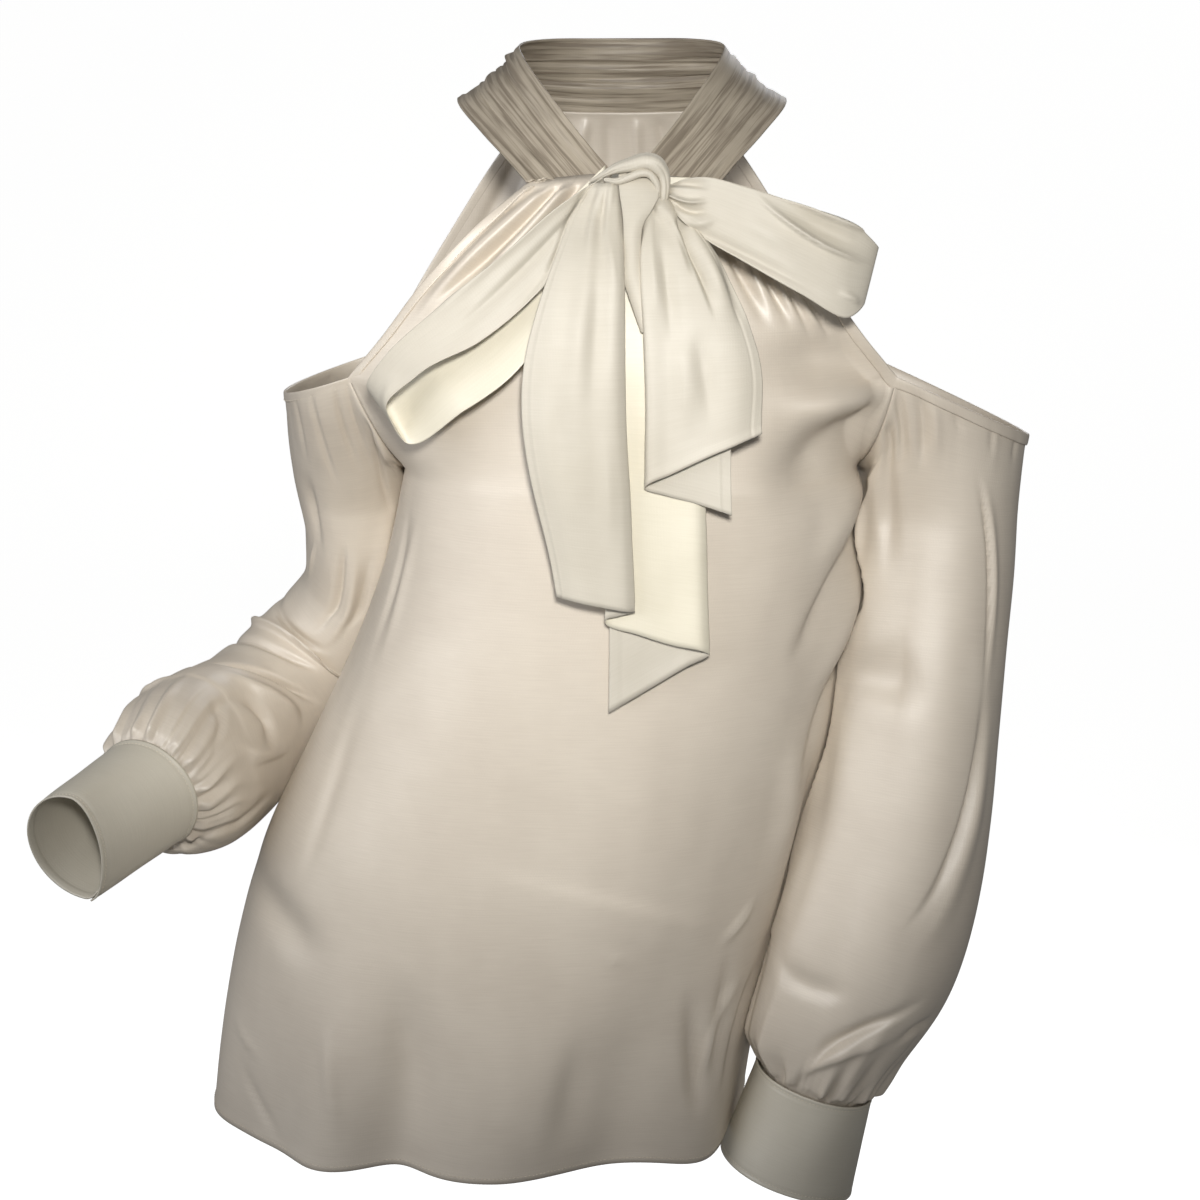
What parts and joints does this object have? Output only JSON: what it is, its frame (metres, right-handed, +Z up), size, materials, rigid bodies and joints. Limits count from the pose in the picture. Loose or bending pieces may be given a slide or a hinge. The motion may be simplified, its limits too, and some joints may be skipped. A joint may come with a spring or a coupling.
{
  "type": "blouse",
  "caption": "Worn silk halter blouse with a tied bow at the neck, open shoulders and full sleeves gathered into deep cuffs.",
  "frame": {"origin": "middle of the neck opening, level with the top of the neckband at the sides of the neck, where the wearer holds the blouse up", "axes": "+Z up, the front faces -Y, +X is the wearer's left"},
  "size_m": [0.5889, 0.2893, 0.7092],
  "materials": {
    "silk": "satin silk, soft sheen",
    "cuff_silk": "satin silk, stiffened, edge stitched",
    "tie_silk": "matt face of the same silk",
    "ruched_silk": "matt face of the same silk, ruched"
  },
  "bodies": {
    "root": {"front": "silk", "back": "silk", "right_sleeve": "silk", "left_sleeve": "silk", "right_binding": "silk", "left_binding": "silk", "right_cuff": "cuff_silk", "left_cuff": "cuff_silk", "neckband": "ruched_silk", "bow_knot": "tie_silk", "right_loop": "tie_silk", "left_loop": "tie_silk", "right_tail": "tie_silk", "left_tail": "tie_silk"}
  },
  "joints": []
}
